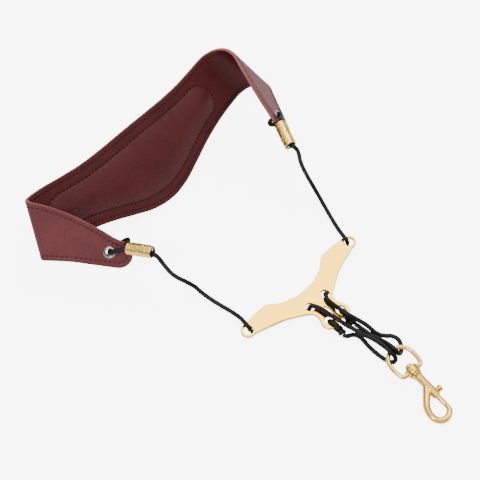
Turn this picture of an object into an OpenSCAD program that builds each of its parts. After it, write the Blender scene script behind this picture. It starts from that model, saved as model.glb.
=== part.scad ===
// Saxophone neck strap lying on a table: a leather pad, two cords, a slotted-arm yoke and a swivel snap hook.
// Millimetres. +Z is up from the table, +Y runs from the hook to the pad, the origin is under the middle.

/* [Pad] */
// Thickness of each leather layer
leather_thick = 1.3; // [1:0.1:2]
// Height of the foam crown under the lining
foam_rise = 3.2; // [1.5:0.1:6]
// Lean of the pad's back from upright, in degrees
pad_lean = 38.5; // [20:0.5:60]
// Distance from the pad's middle to its left fold
left_fold_at = 95.5; // [85:0.5:105]
// Radius of the tight left fold
left_fold_r = 3; // [2.5:0.5:10]
// Turn of the left flap, in degrees
left_fold_turn = 145; // [90:1:160]
// Distance from the pad's middle to its right fold
right_fold_at = 80.5; // [70:0.5:100]
// Radius of the soft right fold
right_fold_r = 14; // [6:0.5:25]
// Turn of the right flap, in degrees
right_fold_turn = 132; // [90:1:150]

/* [Eyelets and ferrules] */
// Outer diameter of the eyelet's flange
eyelet_flange = 8; // [7.5:0.1:11]
// Clear hole through the eyelet
eyelet_hole = 4.6; // [4:0.1:6]
// Length of each ferrule
ferrule_length = 18; // [15:0.5:25]
// Outer diameter of each ferrule
ferrule_dia = 8.2; // [7.8:0.1:10]

/* [Cord] */
// Diameter of the braided cord
cord_dia = 3; // [2:0.1:3]

/* [Yoke] */
// Thickness of the plate
plate_thick = 2; // [1.5:0.1:3]
// Distance between the two arm holes
arm_span = 93.6; // [80:0.2:110]
// Diameter of the arm holes
arm_hole = 6.4; // [5:0.1:7]
// Diameter of the middle holes
mid_hole = 5.8; // [5:0.1:6.5]
// Diameter of the ear holes
ear_hole = 6; // [5:0.1:6.5]

/* [Swivel eye] */
// Thickness of the ring's wire
wire_dia = 3; // [2.5:0.1:3.5]
// Height of the boss that holds the swivel post
boss_tall = 5; // [4:0.1:6]
// Diameter of the swivel post
post_dia = 3.1; // [2.5:0.05:3.5]

/* [Snap hook] */
// Outer diameter of the hook's barrel
barrel_dia = 5.4; // [5.2:0.1:7]
// Diameter of the spring bolt
bolt_dia = 3.3; // [2.5:0.05:3.4]
// Radial clearance of everything that runs in a bore
running_gap = 0.05; // [0.02:0.01:0.1]
// Thickness of the hook's curved arm at its middle
hook_dia = 4.4; // [3.5:0.1:5]
// Travel of the bolt
bolt_travel = 6.5; // [4:0.5:7]

/* [Hidden] */
$fn = 48;
leather_red = [0.42, 0.15, 0.15];
lining_red = [0.34, 0.12, 0.12];
foam_grey = [0.45, 0.43, 0.40];
steel = [0.75, 0.75, 0.77];
gold = [0.88, 0.70, 0.38];
black = [0.05, 0.05, 0.06];
spring_grey = [0.6, 0.6, 0.62];

// The table frame is laid out about the yoke's arms, then moved so that the origin is under the middle.
origin_shift = [9.3, 42.6, 0];

// Pad pattern: half width tables every 15 mm from the middle, top edge and bottom edge.
top_edge = [58.7, 58.6, 58.6, 59.4, 61.5, 63.8, 64.4, 62.3, 58.0, 52.0, 45.5];
low_edge = [-1.0, 1.4, 7.6, 14.3, 19.6, 23.3, 25.8, 27.5, 28.4, 28.0, 27.6];
edge_step = 15;
pad_half = 149;
tip_r = 9;
fold_splay = 19;
fold_t = 30;
pad_at = [-7.8, 57.0, 1.6];
pad_turn = 1;
foam_left = -87;
foam_right = 66;
foam_inset = 9;
eyelet_at = 143;
eyelet_t = 37.5;

function hermite(a, b, c, d, x) =
  b + 0.5 * x * (c - a + x * (2 * a - 5 * b + 4 * c - d + x * (3 * (b - c) + d - a)));
function along(tab, x) = let(i = min(floor(x / edge_step), len(tab) - 2), f = x / edge_step - i)
  hermite(tab[i == 0 ? 1 : i - 1], tab[i], tab[i + 1], tab[min(i + 2, len(tab) - 1)], f);
function tip_half(x) = x <= pad_half ? 1 : sqrt(max(0.02, 1 - pow((x - pad_half) / tip_r, 2)));
function edge_mid(x) = (along(top_edge, min(x, pad_half)) + along(low_edge, min(x, pad_half))) / 2;
function edge_top(x) = edge_mid(x) + tip_half(x) * (along(top_edge, min(x, pad_half)) - edge_mid(x));
function edge_low(x) = edge_mid(x) - tip_half(x) * (edge_mid(x) - along(low_edge, min(x, pad_half)));

// One fold: the sheet past the slanted line at distance at turns inward over radius r.
function fold(p, at, r, turn) =
  let(e = [-sin(fold_splay), cos(fold_splay)], w = [cos(fold_splay), sin(fold_splay)],
      q = [p[0] - at, p[1] - fold_t], d = q * w, l = q * e, arc = r * turn * PI / 180,
      a = d < arc ? d / r * 180 / PI : turn, rest = max(0, d - arc),
      across = (r - p[2]) * sin(a) + rest * cos(a), up = r - (r - p[2]) * cos(a) + rest * sin(a))
  d <= 0 ? p : [at + l * e[0] + across * w[0], fold_t + l * e[1] + across * w[1], up];
// Flat pattern (along, up, inward) to the table frame.
function lay(p) =
  let(f = p[0] < 0 ? fold([-p[0], p[1], p[2]], left_fold_at, left_fold_r, left_fold_turn)
                   : fold(p, right_fold_at, right_fold_r, right_fold_turn),
      x = p[0] < 0 ? -f[0] : f[0],
      y = f[1] * sin(pad_lean) - f[2] * cos(pad_lean),
      z = f[1] * cos(pad_lean) + f[2] * sin(pad_lean))
  pad_at + [x * cos(pad_turn) - y * sin(pad_turn), x * sin(pad_turn) + y * cos(pad_turn), z];

function ease(x) = let(c = min(1, max(0, x))) c * c * (3 - 2 * c);
function crown(s, t) =
  foam_rise * ease(min(foam_right - s, s - foam_left) / 14)
  * ease(min(edge_top(abs(s)) - foam_inset - t, t - edge_low(abs(s)) - foam_inset) / 7);

// Columns of the pad's grid lean with the fold lines, so every fold stays round.
left_cols = [158, 157.2, 155.5, 152.5, 148.5, 141, 130, 120, 110, 104.5, 103, 101.5, 100, 98.5, 97, 95.5, 90, 84, 78, 72,
  66, 60, 52, 44, 36, 28, 20, 12, 4];
right_cols = [4, 12, 20, 28, 36, 44, 50, 54, 58, 62, 66, 70, 76, 80.5, 84.5, 88.5, 92.5, 96.5, 100.5, 104.5, 108.5,
  112.5, 120, 130, 141, 148.5, 152.5, 155.5, 157.2, 158];
cols = concat([for (c = left_cols) -c], right_cols);
function slant(c) = tan(fold_splay) * ease(abs(c) / 70) * (1 - ease((abs(c) - 115) / 36));
function col_at(c, t) = abs(c) - slant(c) * (t - fold_t);
function meet(c, top, t, n) =
  n == 0 ? t : meet(c, top, top ? edge_top(col_at(c, t)) : edge_low(col_at(c, t)), n - 1);
function cell(c, v) =
  let(lo = meet(c, false, 20, 5), hi = meet(c, true, 60, 5), t = lo + v * (hi - lo))
  [sign(c) * col_at(c, t), t];

function unit(v) = v / norm(v);
// A closed slab between two grids of points, m columns by n rows.
module slab(low, high) {
  m = len(low);
  n = len(low[0]);
  flat = concat([for (i = [0:m - 1]) each low[i]], [for (i = [0:m - 1]) each high[i]]);
  function at(k, i, j) = k * m * n + i * n + j;
  rim = concat([for (i = [0:m - 1]) [i, 0]], [for (j = [1:n - 1]) [m - 1, j]],
    [for (i = [m - 2:-1:0]) [i, n - 1]], [for (j = [n - 2:-1:1]) [0, j]]);
  polyhedron(points = flat, faces = concat(
    [for (i = [0:m - 2], j = [0:n - 2]) each [
      [at(0, i, j), at(0, i, j + 1), at(0, i + 1, j + 1)], [at(0, i, j), at(0, i + 1, j + 1), at(0, i + 1, j)],
      [at(1, i, j), at(1, i + 1, j + 1), at(1, i, j + 1)], [at(1, i, j), at(1, i + 1, j), at(1, i + 1, j + 1)]]],
    [for (k = [0:len(rim) - 1]) let(a = rim[k], b = rim[(k + 1) % len(rim)]) each [
      [at(0, a[0], a[1]), at(0, b[0], b[1]), at(1, b[0], b[1])],
      [at(0, a[0], a[1]), at(1, b[0], b[1]), at(1, a[0], a[1])]]]));
}

// A round bar through its route points, carried without twist.
function tangents(p) = [for (i = [0:len(p) - 1]) unit(p[min(i + 1, len(p) - 1)] - p[max(i - 1, 0)])];
function carry(t, i, n) = i >= len(t) ? [] : let(m = unit(n - (n * t[i]) * t[i])) concat([m], carry(t, i + 1, m));
module bar(path, r, sides) {
  t = tangents(path);
  u = carry(t, 0, abs(t[0][2]) > 0.8 ? [1, 0, 0] : [0, 0, 1]);
  n = len(path);
  polyhedron(
    points = [for (i = [0:n - 1], j = [0:sides - 1])
      path[i] + r * (cos(360 * j / sides) * u[i] + sin(360 * j / sides) * cross(t[i], u[i]))],
    faces = concat([[for (j = [0:sides - 1]) j]], [[for (j = [sides - 1:-1:0]) (n - 1) * sides + j]],
      [for (i = [0:n - 2], j = [0:sides - 1]) let(k = (j + 1) % sides) each [
        [i * sides + j, (i + 1) * sides + j, (i + 1) * sides + k],
        [i * sides + j, (i + 1) * sides + k, i * sides + k]]]));
}

module cord(path) bar(path, cord_dia / 2, 8);

// Eyelet frames: centre on the sheet, outward along the flap, up the flap, and the inward normal.
left_eye = lay([-eyelet_at, eyelet_t, 0]);
right_eye = lay([eyelet_at, eyelet_t, 0]);
left_along = unit(lay([-eyelet_at - 5, eyelet_t, 0]) - left_eye);
right_along = unit(lay([eyelet_at + 5, eyelet_t, 0]) - right_eye);
left_in = unit(lay([-eyelet_at, eyelet_t, 1]) - left_eye);
right_in = unit(lay([eyelet_at, eyelet_t, 1]) - right_eye);
module on_flap(p, a, n) {
  b = cross(n, a);
  multmatrix([[a[0], b[0], n[0], p[0]], [a[1], b[1], n[1], p[1]], [a[2], b[2], n[2], p[2]], [0, 0, 0, 1]]) children();
}
// Sleeve frames: the mouth that faces the pad, the way along, and the side the second strand lies on.
left_mouth = [-69.0, 31.6, 35.2];
left_way = unit([0.374, -0.883, 0.282]);
right_mouth = [60.2, 21.3, 50.2];
right_way = unit([-0.415, -0.906, -0.085]);
left_up = cross(left_along, left_in);
right_up = cross(right_in, right_along);
left_side = unit(left_up - (left_up * left_way) * left_way);
right_side = unit(right_in - (right_in * right_way) * right_way);
strand_off = cord_dia / 2 + 0.05;
// Corner of the leather each inner strand passes over, in its flap's frame: outward, up the flap, inward.
left_corner = [[10.6, 7.8, -3], [11.2, 8.9, -0.8], [10.5, 8.9, 2.2], [8.3, 7.1, 3.8], [4.6, 4.4, 4]];
right_corner = [[12.2, 9.4, 0.2], [9.6, 8.8, 2.7], [6.6, 6.8, 3.8], [3.6, 4.2, 4.1]];
left_outer = [[1.8, 1.2, -3.9], [6, 3.2, -4.8]];
right_outer = [[1.8, 1.2, -3.9], [6.5, 4.2, -4.6]];
// The loop: inner strand out of the sleeve and over the corner, through the eyelet, outer strand back and on.
function loop(eye, a, u, n, mouth, way, side, corner, outer) = concat(
  [for (k = [ferrule_length - 0.2, 9, 0.5, -1.2]) mouth + k * way + strand_off * side],
  [for (q = concat(corner, [[1.9, 2.2, 3.8], [0.5, 0.6, 2.8], [0, 0, 0], [0.5, 0.5, -2.8]], outer))
    eye + q[0] * a + q[1] * u + q[2] * n],
  [for (k = [-1.2, 0.5, 9, ferrule_length + 0.6, ferrule_length + 1.6]) mouth + k * way - strand_off * side]);

// Runs from the ferrules to the yoke's arm holes.
left_run = [
  [-62.2, 12.4, 39.4], [-61.8, 11, 38], [-61.2, 9.2, 34.8], [-60.2, 7, 30], [-58.5, 4.1, 23.5],
  [-55.9, 1.5, 18], [-52, -2.2, 12], [-49, -6.9, 7.5], [-47.9, -12.4, 4.6], [-46.5, -18.9, 2.6],
  [-45.2, -25.5, 1.7], [-44.1, -31.1, 1.6], [-43.7, -36.5, 2.4], [-44.2, -42.3, 4.7], [-45.4, -46.8, 6.9],
  [-45.9, -49.6, 7], [-46, -51.4, 6.2], [-45.9, -52.3, 5], [-45.9, -52.5, 3.7]];
right_run = [
  [53.5, 1.6, 48.8], [54.2, 0.6, 47], [54.8, -0.5, 43.4], [55.2, -1.5, 37.5], [56, -3.1, 31],
  [57.6, -6.7, 21.5], [58.6, -11.5, 13.5], [58.5, -17.2, 7.5], [57.2, -23.7, 3.6], [54.8, -31.1, 1.8],
  [51.5, -39.1, 2.2], [48.5, -45.3, 4.6], [46.3, -49.8, 6.9], [45.6, -52.3, 6.9], [45.4, -53.9, 5.8],
  [45.4, -54.5, 4.6], [45.5, -54.6, 3.7]];
// Behind the plate, up through the middle holes, round the swivel eye and back to the ears.
left_loop = [
  [-45.2, -53, 1.9], [-44.7, -54.4, 1.55], [-41.6, -55.5, 1.55], [-35.6, -57.8, 1.55], [-25.7, -61.4, 1.55],
  [-15.8, -66, 1.55], [-11.5, -68.1, 1.55], [-9.8, -68.8, 1.6], [-8.6, -69.2, 2.5], [-8.2, -69.4, 4.2],
  [-8.2, -69.6, 5.8], [-7.5, -70.3, 7.1], [-6, -72.6, 7.2], [-5, -76.8, 7.5], [-4.7, -81.6, 8.1],
  [-4.6, -86.6, 8.9], [-3.9, -91, 8.7], [-2.9, -95.2, 7.6], [-1.7, -99.2, 6.8], [-0.8, -103.5, 6.6],
  [0, -107.7, 6.8], [0.8, -111.8, 7.4], [1.3, -116.1, 8.1], [1.4, -120.9, 8.8], [1.3, -124.6, 9.3],
  [1.3, -127.3, 8.9], [1.7, -129.5, 7.7], [2, -131.4, 5.7], [1.6, -132.5, 3.7], [0.5, -132.3, 2],
  [-0.8, -130.6, 1.5], [-1.6, -128.1, 1.5], [-2, -125.4, 1.5], [-2.2, -122, 1.5], [-2.2, -118.5, 1.5],
  [-1.7, -113.1, 1.5], [-0.7, -107.2, 1.6], [-1.3, -103.4, 1.9], [-3.4, -101, 2.3], [-6, -99.8, 2.7],
  [-7.2, -98.3, 3], [-7.2, -97.3, 3.1]];
right_loop = [
  [44.8, -54.9, 1.9], [43.6, -56.8, 1.55], [40.4, -57.7, 1.55], [34.4, -59.8, 1.55], [24.3, -62.8, 1.55],
  [14.1, -66.8, 1.55], [9.7, -68.7, 1.55], [7.9, -69.3, 1.6], [6.7, -69.7, 2.5], [6.3, -69.9, 4.2],
  [6.2, -70.2, 5.8], [5.1, -71.1, 7.1], [3.3, -73.3, 7.2], [2.6, -77.1, 7.7], [2.2, -82.2, 8.8],
  [2, -87.3, 9.9], [2.6, -91.7, 9.7], [4, -95.6, 8.5], [5.5, -99.5, 7], [6.8, -103.9, 5.6],
  [7.4, -107.8, 4.2], [7.9, -110.9, 2.9], [9.2, -113.8, 1.9], [11.4, -116.8, 1.5], [13.9, -119.6, 1.5],
  [14.8, -122.6, 1.5], [14.3, -125.6, 1.5], [12.7, -128, 1.5], [10.7, -130, 1.5], [8.4, -131.3, 2.2],
  [6.2, -131.5, 4.1], [5.1, -130.6, 6.4], [4.6, -128.5, 8.5], [4.6, -125.6, 8.9], [4.8, -121.7, 7.6],
  [4.9, -117.5, 5.8], [4.6, -113.3, 4.4], [4.35, -109, 3.5], [4.1, -104.3, 3.2], [3.8, -99.6, 3.2],
  [3.6, -97.7, 3.2]];
left_hitch = [
  [-6.5, -92.7, 4.9], [-6.6, -91.3, 6.6], [-6.8, -89.2, 7.1], [-6.9, -87, 6.85], [-6.9, -85.4, 5.4],
  [-6.9, -84.9, 4.2], [-6.9, -85.5, 2.9], [-6.9, -87, 1.6], [-6.8, -89, 1.55], [-6.6, -91, 1.6],
  [-6.5, -92.7, 2.3]];
right_hitch = [
  [3.3, -93, 4.9], [3.6, -91.6, 6.6], [3.8, -89.5, 7.1], [4.1, -87.3, 6.85], [4.1, -85.7, 5.4],
  [4.1, -85.2, 4.2], [4.1, -85.8, 2.9], [4.1, -87.3, 1.6], [3.8, -89.3, 1.55], [3.6, -91.3, 1.6],
  [3.3, -93, 2.3]];

// Yoke plate outline about its own middle, arms up, ears down.
plate_at = [-0.5, -54];
plate_turn = -1.6;
plate_low = 3.2;
// One side of the outline, from the middle of the top edge round the arm and down the leg to the middle.
half_outline = [[0, -4.4], [4.8, -4.1], [8.6, -3.6], [12, -2.4], [15.6, -1.1], [18.5, 0.2], [21, 2], [25.3, 5.3],
  [30.5, 5.9], [35, 5.8], [42.5, 5.35], [46.8, 5.3], [46.8, -4.5], [45.2, -4.5], [42, -5.3], [38.6, -6.3],
  [34.7, -7.35], [31.4, -8.3], [28.2, -9.35], [25, -10.8], [22.5, -12.2], [19, -14], [16, -15.8], [14.1, -16.9],
  [10.9, -19.1], [8.8, -21.4], [8.5, -24.5], [9.9, -27.6], [5.6, -31.3], [0, -28]];
arm_hole_y = 0.4;
mid_hole_at = [6.87, -15.7];
ear_at = [5.6, -31.3];
ear_hole_at = [5.5, -30.6];
ear_r = 5.5;

// The eye, the post and the hook share one axis, tipped a little to the table and turned in plan.
pivot = [4.5, -127.2, 5.55];
hook_turn = -5.5;
hook_dip = 3.7;
half_ring = [[0, 0], [1.5, 0], [2.9, -0.45], [5.6, -2], [7.5, -4.2], [8.7, -7.4], [8.95, -10.9], [8.7, -13.9],
  [8.2, -16.4], [7.6, -17.6], [6.2, -18], [3, -18]];
boss_y = [-15.5, -20.5];
collar_y = -20.75;
bore_end = -24;
bolt_back = -33.2;
bolt_tip = -47.4;
stud_y = -37;
barrel_end = -39.9;
// Middle line and radius of the hook's arm, from the barrel round to the nose.
arm_line = [[-0.5, -30.9], [-4.5, -35], [-8.3, -38.6], [-11, -42.2], [-12.1, -46.3], [-11.6, -50.2], [-9.2, -53],
  [-5.8, -53.7], [-2.4, -52.6], [-0.4, -50.7], [0, -49.05]];
arm_r = [1.09, 1.07, 1.02, 1, 0.98, 0.97, 0.95, 0.92, 0.85, 0.77, 0.7];

module place() { translate(origin_shift) children(); }
module eyelet_bores(r) {
  on_flap(left_eye, left_along, left_in) cylinder(h = 12, r = r, center = true);
  on_flap(right_eye, right_along, right_in) cylinder(h = 12, r = r, center = true);
}
tube_r = eyelet_hole / 2 + 0.35;

module pad_outer_leather() color(leather_red) place() difference() {
  rows = [0, 0.25, 0.5, 0.75, 1];
  slab([for (c = cols) [for (v = rows) let(p = cell(c, v)) lay([p[0], p[1], -leather_thick])]],
    [for (c = cols) [for (v = rows) let(p = cell(c, v)) lay([p[0], p[1], 0])]]);
  eyelet_bores(tube_r);
}
module pad_lining() color(lining_red) place() difference() {
  rows = [0, 0.08, 0.17, 0.24, 0.32, 0.5, 0.68, 0.76, 0.84, 0.92, 1];
  slab([for (c = cols) [for (v = rows) let(p = cell(c, v)) lay([p[0], p[1], crown(p[0], p[1])])]],
    [for (c = cols) [for (v = rows) let(p = cell(c, v)) lay([p[0], p[1], crown(p[0], p[1]) + leather_thick])]]);
  eyelet_bores(tube_r);
}
function foam_spot(x, v) =
  let(lo = edge_low(abs(x)) + foam_inset + 3, hi = edge_top(abs(x)) - foam_inset - 3) [x, lo + v * (hi - lo)];
module pad_foam() color(foam_grey) place() {
  xs = [foam_left + 6, -68, -60, -50, -40, -30, -20, -10, 0, 10, 20, 30, 40, 50, 55, foam_right - 6];
  vs = [0, 0.12, 0.3, 0.5, 0.7, 0.88, 1];
  slab([for (x = xs) [for (v = vs) let(p = foam_spot(x, v)) lay([p[0], p[1], 0.02])]],
    [for (x = xs) [for (v = vs) let(p = foam_spot(x, v)) lay([p[0], p[1], max(0.15, 0.8 * crown(p[0], p[1]) - 0.3)])]]);
}

module eyelet_shape() {
  o = leather_thick + 0.05;
  rotate_extrude() {
    translate([eyelet_hole / 2, -o - 0.5]) square([0.3, 2 * o + 1]);
    translate([eyelet_hole / 2, -o - 0.6]) square([eyelet_flange / 2 - eyelet_hole / 2 - 0.3, 0.6]);
    translate([eyelet_flange / 2 - 0.3, -o - 0.3]) circle(r = 0.3);
  }
}
module washer_shape() rotate_extrude()
  translate([eyelet_hole / 2 + 0.35, leather_thick + 0.05]) square([eyelet_flange / 2 - eyelet_hole / 2 - 0.35, 0.5]);
module left_eyelet() color(steel) place() on_flap(left_eye, left_along, left_in) eyelet_shape();
module right_eyelet() color(steel) place() on_flap(right_eye, right_along, right_in) eyelet_shape();
module left_eyelet_washer() color(steel) place() on_flap(left_eye, left_along, left_in) washer_shape();
module right_eyelet_washer() color(steel) place() on_flap(right_eye, right_along, right_in) washer_shape();

module ferrule_shape() rotate_extrude() difference() {
  square([ferrule_dia / 2, ferrule_length]);
  translate([-1, -1]) square([1 + cord_dia + 0.15, ferrule_length + 2]);
  translate([ferrule_dia / 2, 1.6]) circle(r = 0.25, $fn = 24);
  translate([ferrule_dia / 2, ferrule_length - 1.6]) circle(r = 0.25, $fn = 24);
}
module along_way(p, w, s) {
  b = cross(w, s);
  multmatrix([[s[0], b[0], w[0], p[0]], [s[1], b[1], w[1], p[1]], [s[2], b[2], w[2], p[2]], [0, 0, 0, 1]]) children();
}
module left_ferrule() color(gold) place() along_way(left_mouth, left_way, left_side) ferrule_shape();
module right_ferrule() color(gold) place() along_way(right_mouth, right_way, right_side) ferrule_shape();

module left_upper_cord() color(black) place()
  cord(concat(loop(left_eye, left_along, left_up, left_in, left_mouth, left_way, left_side, left_corner, left_outer),
    left_run));
module right_upper_cord() color(black) place()
  cord(concat(loop(right_eye, right_along, right_up, right_in, right_mouth, right_way, right_side, right_corner,
    right_outer), right_run));
module left_lower_cord() color(black) place() cord(left_loop);
module right_lower_cord() color(black) place() cord(right_loop);

module knot(p) translate(p) {
  rotate([0, 90, 0]) rotate_extrude() translate([1.5, 0]) circle(r = 1.4, $fn = 24);
  rotate([20, 20, 0]) rotate_extrude() translate([1.5, 0]) circle(r = 1.4, $fn = 24);
  sphere(r = 1.9);
}
module left_knot() color(black) place() { cord(left_hitch); knot([-6.4, -93.9, 3]); }
module right_knot() color(black) place() { cord(right_hitch); knot([3.2, -94.1, 3]); }

module yoke_plate() color(gold) place()
  translate([plate_at[0], plate_at[1], plate_low]) rotate([0, 0, plate_turn]) difference() {
    n = len(half_outline);
    union() {
      linear_extrude(plate_thick)
        polygon(concat(half_outline, [for (i = [n - 2:-1:1]) [-half_outline[i][0], half_outline[i][1]]]));
      for (s = [-1, 1]) {
        translate([s * arm_span / 2, arm_hole_y, 0]) cylinder(h = plate_thick, r = 4.9);
        translate([s * ear_at[0], ear_at[1], 0]) cylinder(h = plate_thick, r = ear_r);
      }
    }
    for (s = [-1, 1]) {
      translate([s * arm_span / 2, arm_hole_y, -1]) cylinder(h = plate_thick + 2, d = arm_hole);
      translate([s * mid_hole_at[0], mid_hole_at[1], -1]) cylinder(h = plate_thick + 2, d = mid_hole);
      translate([s * ear_hole_at[0], ear_hole_at[1], -1]) cylinder(h = plate_thick + 2, d = ear_hole);
    }
    // The gap between the two legs.
    translate([0, -30, -1]) linear_extrude(plate_thick + 2)
      polygon([[0, 8.5], [1.2, 6], [0.5, -10], [-0.5, -10], [-1.2, 6]]);
  }

module hook_frame() place() translate(pivot) rotate([0, 0, hook_turn]) rotate([hook_dip, 0, 0]) children();
module rod(a, b, r) {
  v = b - a;
  translate(a) rotate([0, acos(v[2] / norm(v)), atan2(v[1], v[0])]) cylinder(h = norm(v), r = r);
}
// A tapering rod along points in the hook's plane; r[i] is the radius at p[i].
module line_rod(p, r) for (i = [0:len(p) - 2]) hull() {
  translate([p[i][0], p[i][1], 0]) sphere(r = r[i], $fn = 24);
  translate([p[i + 1][0], p[i + 1][1], 0]) sphere(r = r[i + 1], $fn = 24);
}
module swivel_eye() color(gold) hook_frame() difference() {
  union() {
    // The cord loops have worn a short straight band at the top.
    rod([-1.4, 0, 0], [1.4, 0, 0], wire_dia / 2 + 0.06);
    bar(concat([for (i = [len(half_ring) - 1:-1:1]) [-half_ring[i][0], half_ring[i][1], 0]],
      [for (i = [1:len(half_ring) - 1]) [half_ring[i][0], half_ring[i][1], 0]]), wire_dia / 2, 16);
    rod([0, boss_y[0], 0], [0, boss_y[1], 0], 4.4);
  }
  rod([0, boss_y[0] + 2, 0], [0, boss_y[1] - 2, 0], post_dia / 2 + running_gap);
}
head_y = boss_y[0] + 0.2;
module swivel_post() color(gold) hook_frame() {
  rod([0, head_y, 0], [0, bore_end + 0.3, 0], post_dia / 2);
  rod([0, head_y + 1.4, 0], [0, head_y, 0], 2.6);
  translate([0, head_y + 1.4, 0]) rotate([-90, 0, 0]) scale([1, 1, 0.3]) sphere(r = 2.6);
}
module hook_body() color(gold) hook_frame() difference() {
  union() {
    rod([0, collar_y, 0], [0, collar_y - 0.9, 0], 4);
    translate([0, collar_y - 0.9, 0]) rotate([90, 0, 0]) cylinder(h = 2.4, r1 = 4, r2 = barrel_dia / 2);
    rod([0, collar_y, 0], [0, barrel_end, 0], barrel_dia / 2);
    line_rod(arm_line, hook_dia / 2 * arm_r);
  }
  rod([0, 0, 0], [0, bore_end, 0], post_dia / 2);
  rod([0, bore_end + 0.01, 0], [0, barrel_end - 1, 0], bolt_dia / 2 + running_gap);
  for (y = [stud_y - 0.2, stud_y + bolt_travel + 0.3])
    translate([0, y, 0]) rotate([0, 90, 0]) cylinder(h = 6, r = 1.1);
  translate([0, stud_y - 0.2, -1.1]) cube([6, bolt_travel + 0.5, 2.2]);
}
module spring_bolt() color(gold) hook_frame() difference() {
  union() {
    rod([0, bolt_back, 0], [0, bolt_tip + 0.4, 0], bolt_dia / 2);
    translate([0, bolt_tip + 0.4, 0]) rotate([90, 0, 0]) cylinder(h = 0.4, r1 = bolt_dia / 2, r2 = bolt_dia / 2 - 0.4);
  }
  rod([0.2, stud_y, 0], [3, stud_y, 0], 0.7);
}
module thumb_stud() color(gold) hook_frame() translate([0, stud_y, 0]) rotate([0, 90, 0]) {
  translate([0, 0, 0.2]) cylinder(h = 1.4, r = 0.7);
  translate([0, 0, 1.5]) cylinder(h = 2.2, r = 0.95);
  translate([0, 0, 3.3]) cylinder(h = 0.6, r = 1.9);
  translate([0, 0, 3.8]) cylinder(h = 0.7, r = 1.4);
  translate([0, 0, 4.4]) cylinder(h = 1.1, r = 2.2);
  translate([0, 0, 5.5]) scale([1, 1, 0.35]) sphere(r = 2.2);
}
module bolt_spring() color(spring_grey) hook_frame() {
  turns = 6;
  n = turns * 10;
  pitch = (bore_end - bolt_back - 0.9) / turns;
  path = [for (i = [0:n]) [1.15 * cos(36 * i), bolt_back + 0.45 + pitch * i / 10, 1.15 * sin(36 * i)]];
  t = tangents(path);
  u = carry(t, 0, [1, 0, 0]);
  polyhedron(points = [for (i = [0:n], j = [0:5])
      path[i] + 0.22 * (cos(60 * j) * u[i] + sin(60 * j) * cross(t[i], u[i]))],
    faces = concat([[for (j = [0:5]) j]], [[for (j = [5:-1:0]) n * 6 + j]],
      [for (i = [0:n - 1], j = [0:5]) let(k = (j + 1) % 6) each [
        [i * 6 + j, (i + 1) * 6 + j, (i + 1) * 6 + k], [i * 6 + j, (i + 1) * 6 + k, i * 6 + k]]]));
}

pad_outer_leather();
pad_lining();
pad_foam();
left_eyelet();
right_eyelet();
left_eyelet_washer();
right_eyelet_washer();
left_ferrule();
right_ferrule();
left_upper_cord();
right_upper_cord();
yoke_plate();
left_lower_cord();
right_lower_cord();
left_knot();
right_knot();
swivel_eye();
swivel_post();
hook_body();
spring_bolt();
thumb_stud();
bolt_spring();
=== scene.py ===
import math

import bmesh
import bpy
import numpy as np
from mathutils import Matrix, Vector


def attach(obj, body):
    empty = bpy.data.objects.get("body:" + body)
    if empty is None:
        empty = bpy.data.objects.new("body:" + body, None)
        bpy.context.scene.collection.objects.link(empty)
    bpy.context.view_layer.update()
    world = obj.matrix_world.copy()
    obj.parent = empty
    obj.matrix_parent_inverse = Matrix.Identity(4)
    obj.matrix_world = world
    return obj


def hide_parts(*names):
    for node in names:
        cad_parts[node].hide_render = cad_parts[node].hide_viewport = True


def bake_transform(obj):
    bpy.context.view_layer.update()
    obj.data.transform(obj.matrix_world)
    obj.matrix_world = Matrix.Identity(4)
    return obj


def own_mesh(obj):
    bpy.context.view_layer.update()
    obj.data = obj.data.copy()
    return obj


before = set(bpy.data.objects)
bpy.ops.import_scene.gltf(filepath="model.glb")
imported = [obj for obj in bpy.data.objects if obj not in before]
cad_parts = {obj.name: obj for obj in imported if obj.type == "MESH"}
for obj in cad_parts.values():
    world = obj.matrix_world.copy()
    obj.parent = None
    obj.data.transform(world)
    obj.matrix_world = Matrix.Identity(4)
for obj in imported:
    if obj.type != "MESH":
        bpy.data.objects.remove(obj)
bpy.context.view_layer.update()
MM = 0.001
# The table frame of part.scad, moved so that the origin is under the middle.
SHIFT = np.array([9.3, 42.6, 0.0])


# ---------------------------------------------------------------- materials
def new_material(name):
    m = bpy.data.materials.new(name)
    m.use_nodes = True
    return m, m.node_tree, m.node_tree.nodes["Principled BSDF"]


def add(tree, kind, **values):
    node = tree.nodes.new(kind)
    for key, value in values.items():
        if hasattr(node, key):
            setattr(node, key, value)
        else:
            node.inputs[key].default_value = value
    return node


def ramp(tree, source, stops):
    node = tree.nodes.new("ShaderNodeValToRGB")
    while len(node.color_ramp.elements) < len(stops):
        node.color_ramp.elements.new(0.5)
    for element, (place, colour) in zip(node.color_ramp.elements, stops):
        element.position = place
        element.color = (*colour, 1.0) if len(colour) == 3 else colour
    tree.links.new(source, node.inputs["Fac"])
    return node


def coords(tree):
    return tree.nodes.new("ShaderNodeTexCoord").outputs["Object"]


def bump(tree, bsdf, height, distance, strength=1.0, before=None):
    node = add(tree, "ShaderNodeBump", Strength=strength, Distance=distance)
    tree.links.new(height, node.inputs["Height"])
    if before is not None:
        tree.links.new(before.outputs["Normal"], node.inputs["Normal"])
    tree.links.new(node.outputs["Normal"], bsdf.inputs["Normal"])
    return node


def grey(v):
    return (v, v, v)


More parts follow.
